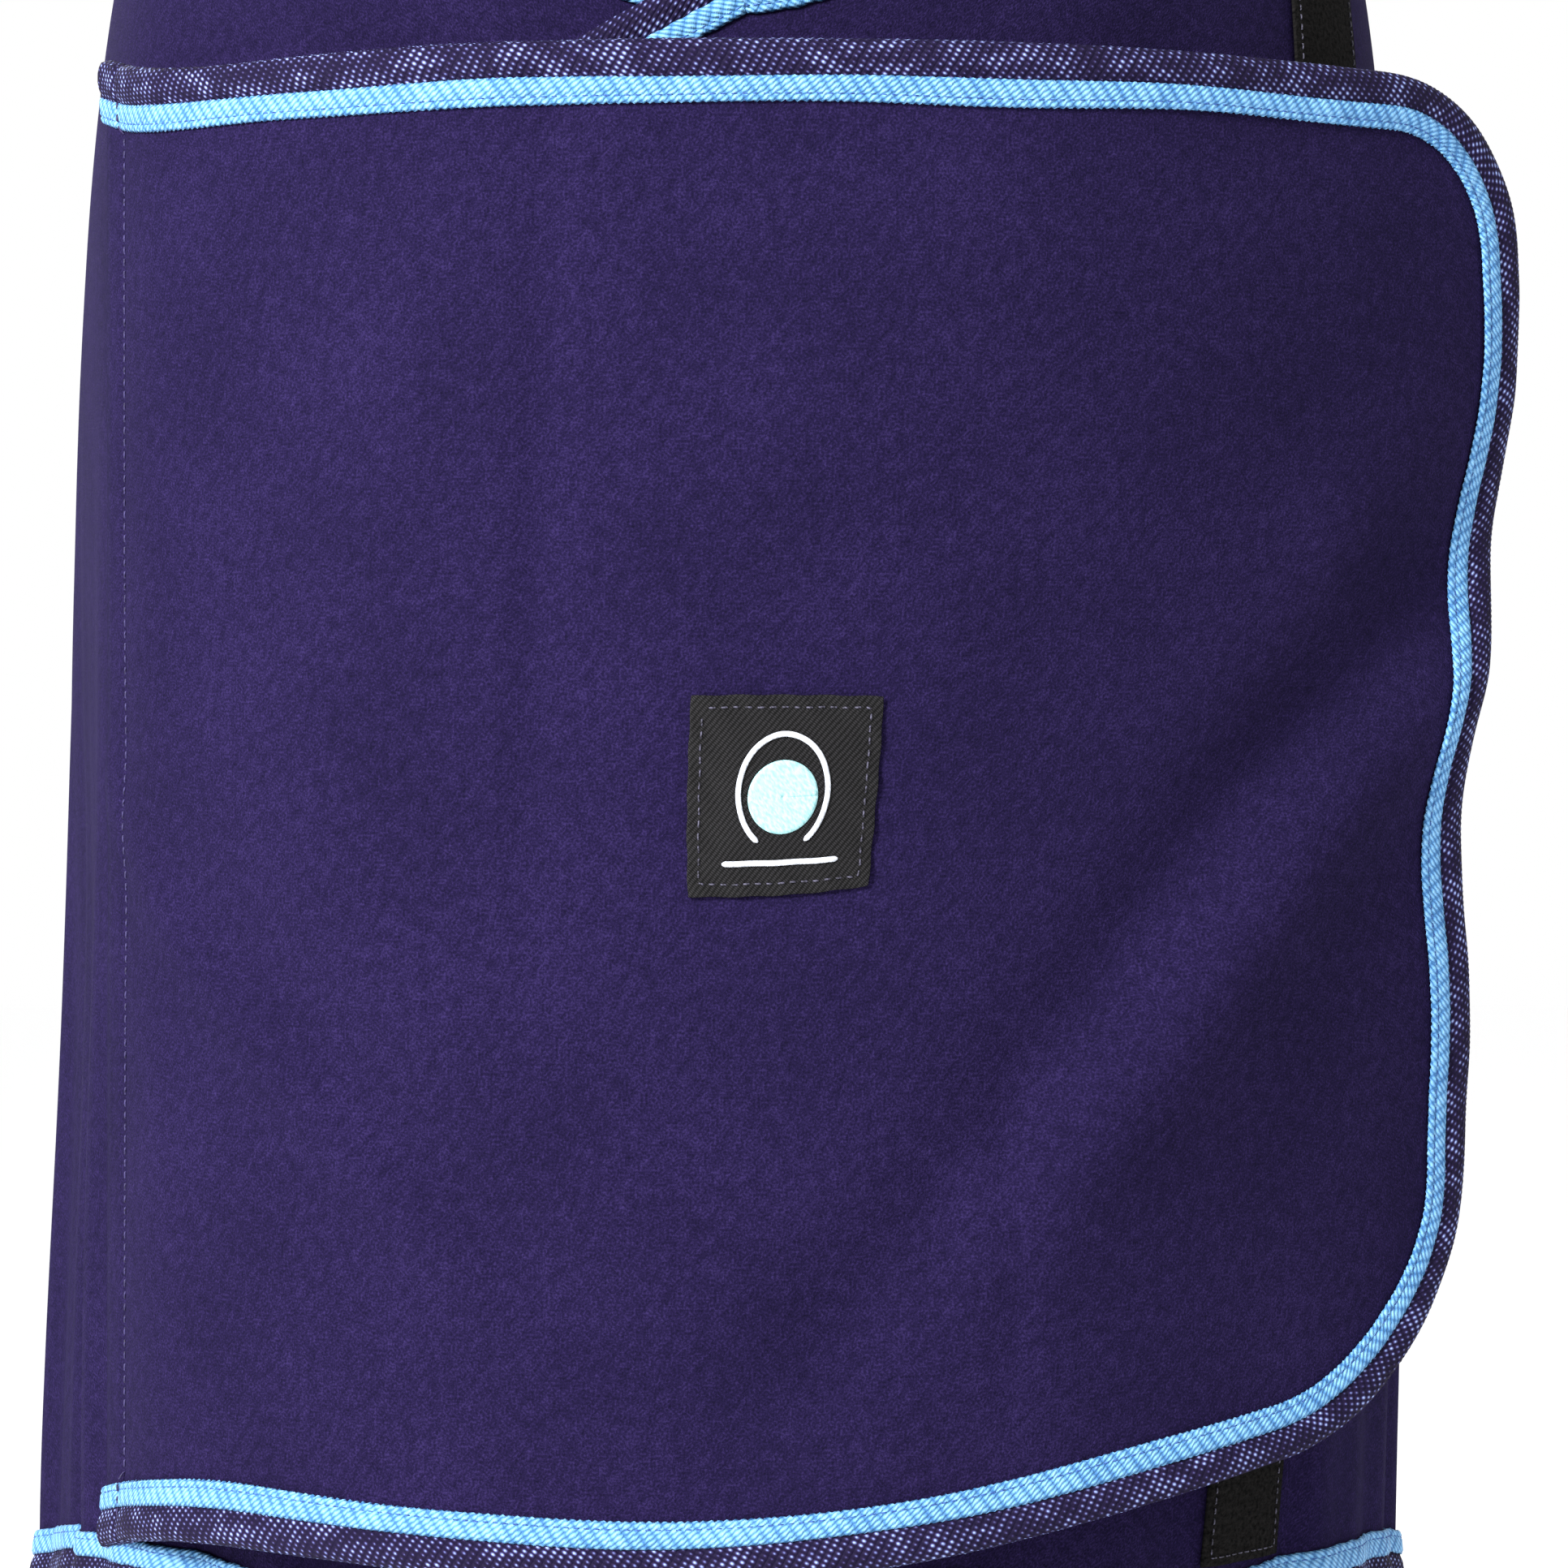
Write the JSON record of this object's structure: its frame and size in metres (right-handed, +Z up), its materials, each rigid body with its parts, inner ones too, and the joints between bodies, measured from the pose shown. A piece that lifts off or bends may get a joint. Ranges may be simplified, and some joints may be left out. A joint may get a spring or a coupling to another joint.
{
  "type": "turnout rug",
  "caption": "Fleece horse rug in worn shape with a crossed front, hook-and-loop chest flap, tail flap and detachable cross surcingles.",
  "frame": {"origin": "the withers: inside of the back seam at the front end of the spine, on the centreline", "axes": "+Y from chest to tail along the spine, +X to the horse's left, +Z up"},
  "size_m": [0.604, 2.0795, 1.2292],
  "materials": {
    "fleece": "navy polar fleece, brushed and matt",
    "binding": "navy woven twill tape with pale flecks",
    "trim": "light blue woven twill tape",
    "hook_and_loop": "black hook-and-loop tape",
    "label": "black woven patch with a plain pale disc",
    "webbing": "navy woven webbing",
    "metal": "satin nickel plate",
    "plastic": "black moulded plastic"
  },
  "bodies": {
    "rug": {"side_left": "fleece", "side_right": "fleece", "spine_tape": "binding", "front_under": "fleece", "front_under_binding": "binding", "front_under_trim": "trim", "closure_loop_tape": "hook_and_loop", "neck_left_binding": "binding", "neck_left_trim": "trim", "hem_left_binding": "binding", "hem_left_trim": "trim", "ring_tab_left": "webbing", "tab_front_left": "webbing", "patch_front_left": "webbing", "slot_plate_front_left": "metal", "tab_rear_left": "webbing", "patch_rear_left": "webbing", "slot_plate_rear_left": "metal", "neck_right_binding": "binding", "neck_right_trim": "trim", "hem_right_binding": "binding", "hem_right_trim": "trim", "ring_tab_right": "webbing", "tab_front_right": "webbing", "patch_front_right": "webbing", "slot_plate_front_right": "metal", "tab_rear_right": "webbing", "patch_rear_right": "webbing", "slot_plate_rear_right": "metal"},
    "over_front": {"front_over": "fleece", "front_over_binding": "binding", "front_over_trim": "trim", "closure_hook_tape": "hook_and_loop", "flap_loop_strip": "hook_and_loop"},
    "chest_flap": {"flap_panel": "fleece", "flap_binding": "binding", "flap_trim": "trim", "flap_hook_strip": "hook_and_loop", "flap_label": "label"},
    "tail_flap": {"tail_flap_panel": "fleece", "tail_flap_binding": "binding", "tail_flap_trim": "trim"},
    "front_surcingle": {"strap_front": "webbing", "t_hook_front_left": "metal", "t_hook_front_right": "metal"},
    "rear_surcingle": {"strap_rear": "webbing", "t_hook_rear_left": "metal", "t_hook_rear_right": "metal"},
    "front_adjuster": {"adjuster_front": "plastic"},
    "rear_adjuster": {"adjuster_rear": "plastic"},
    "fillet_ring_left": {"ring_left": "metal"},
    "fillet_ring_right": {"ring_right": "metal"}
  },
  "joints": [
    {"name": "chest_flap_open", "type": "hinge", "parent": "rug", "child": "chest_flap", "pos_m": [-0.2172, -0.4275, -0.559], "axis": [0, 0, -1], "range_deg": [0, 150]},
    {"name": "over_front_open", "type": "hinge", "parent": "rug", "child": "over_front", "pos_m": [0.259, -0.2465, -0.5], "axis": [0, 0, 1], "range_deg": [0, 75]},
    {"name": "tail_flap_lift", "type": "hinge", "parent": "rug", "child": "tail_flap", "pos_m": [0, 1.38933, -0.19386], "axis": [1, 0, 0], "range_deg": [0, 110]},
    {"name": "front_surcingle_swing", "type": "hinge", "parent": "rug", "child": "front_surcingle", "pos_m": [-0.28645, 0.33, -0.98487], "axis": [0.8849, 0.4657, -0.01], "range_deg": [-15, 15]},
    {"name": "rear_surcingle_swing", "type": "hinge", "parent": "rug", "child": "rear_surcingle", "pos_m": [-0.28354, 0.63, -0.99128], "axis": [0.8849, -0.4657, 0.01], "range_deg": [-15, 15]},
    {"name": "front_adjuster_slide", "type": "slide", "parent": "front_surcingle", "child": "front_adjuster", "axis": [0, 0, -1], "range_m": [0, 0.044]},
    {"name": "rear_adjuster_slide", "type": "slide", "parent": "rear_surcingle", "child": "rear_adjuster", "axis": [0, 0, -1], "range_m": [0, 0.044]},
    {"name": "fillet_ring_left_swing", "type": "hinge", "parent": "rug", "child": "fillet_ring_left", "pos_m": [0.19482, 1.40206, -0.85364], "axis": [-0.4826, 0.8758, 0], "range_deg": [-4, 75]},
    {"name": "fillet_ring_right_swing", "type": "hinge", "parent": "rug", "child": "fillet_ring_right", "pos_m": [-0.19482, 1.40206, -0.85364], "axis": [-0.4826, -0.8758, 0], "range_deg": [-4, 75]}
  ],
  "couplings": [
    {"joint": "over_front_open", "follows": "chest_flap_open", "ratio": 0.5}
  ]
}
